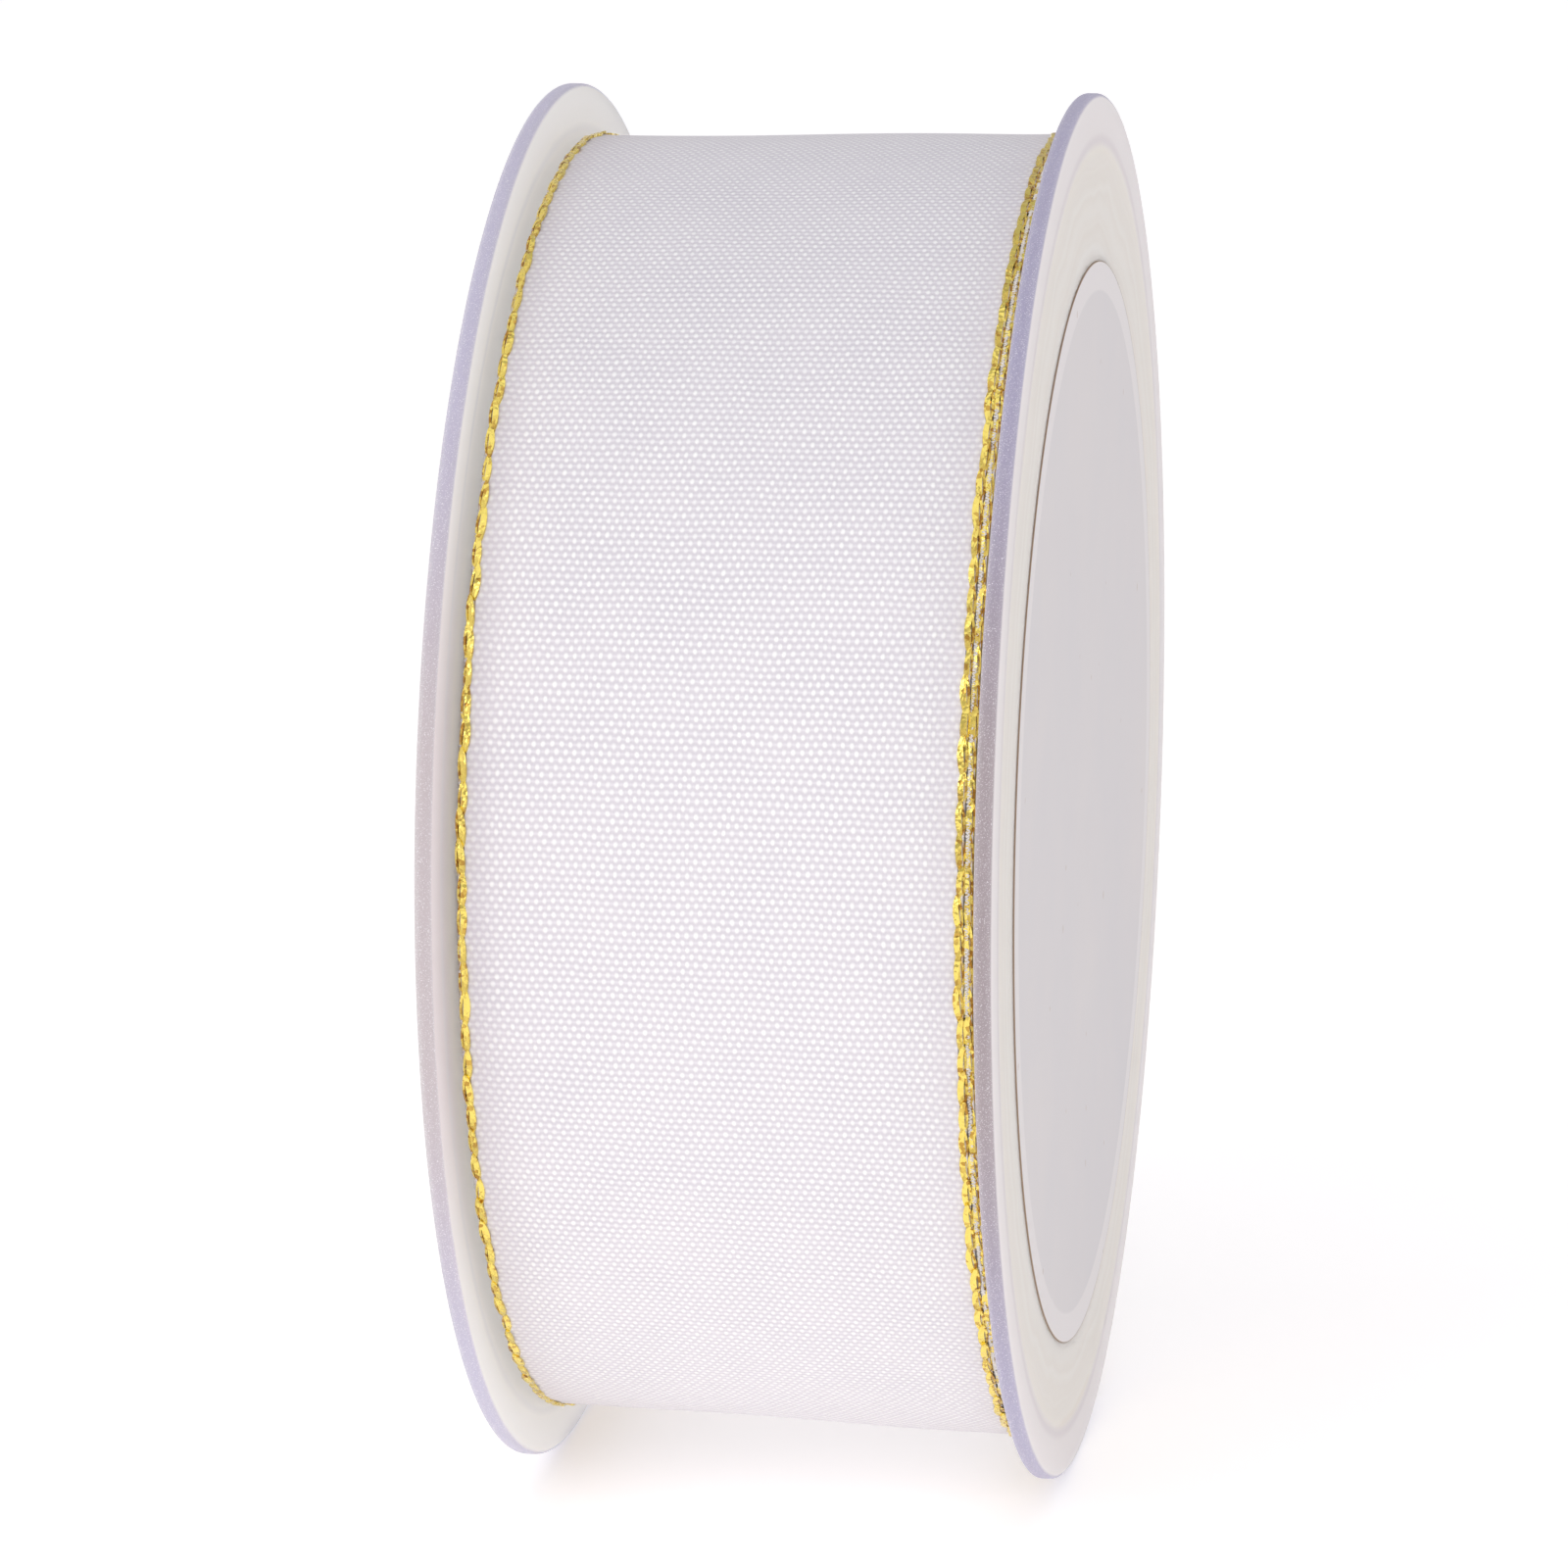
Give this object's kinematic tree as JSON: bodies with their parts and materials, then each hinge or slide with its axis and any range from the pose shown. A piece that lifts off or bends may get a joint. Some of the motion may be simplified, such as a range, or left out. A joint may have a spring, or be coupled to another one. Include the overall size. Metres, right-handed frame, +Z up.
{
  "type": "ribbon spool",
  "caption": "Spool with two frosted plastic flanges and blank paper labels, wound with white woven ribbon that has stitched gold edges; the taped free end lifts.",
  "frame": {"origin": "on the standing surface, midway between the two flanges and under the spool's axis", "axes": "+X along the spool's axis towards the right flange, +Y towards the back, +Z up"},
  "size_m": [0.045, 0.115, 0.115],
  "materials": {
    "frosted_plastic": "moulded frosted translucent",
    "core_plastic": "satin",
    "white_ribbon": "plain woven",
    "gold_yarn": "metallic foil yarn",
    "clear_tape": "clear film",
    "label_paper": "matt, blank"
  },
  "bodies": {
    "spool": {"left_flange": "frosted_plastic", "right_flange": "frosted_plastic", "core_tube": "core_plastic", "core_tape": "clear_tape", "ribbon_winding": "white_ribbon", "gold_edge_left": "gold_yarn", "gold_edge_right": "gold_yarn", "left_label": "label_paper", "right_label": "label_paper"},
    "free_end": {"ribbon_end": "white_ribbon", "end_gold_left": "gold_yarn", "end_gold_right": "gold_yarn", "end_tape": "clear_tape"}
  },
  "joints": [
    {"name": "end_lift", "type": "hinge", "parent": "spool", "child": "free_end", "pos_m": [0, 0.04757, 0.08279], "axis": [1, 0, 0], "range_deg": [0, 70]}
  ]
}
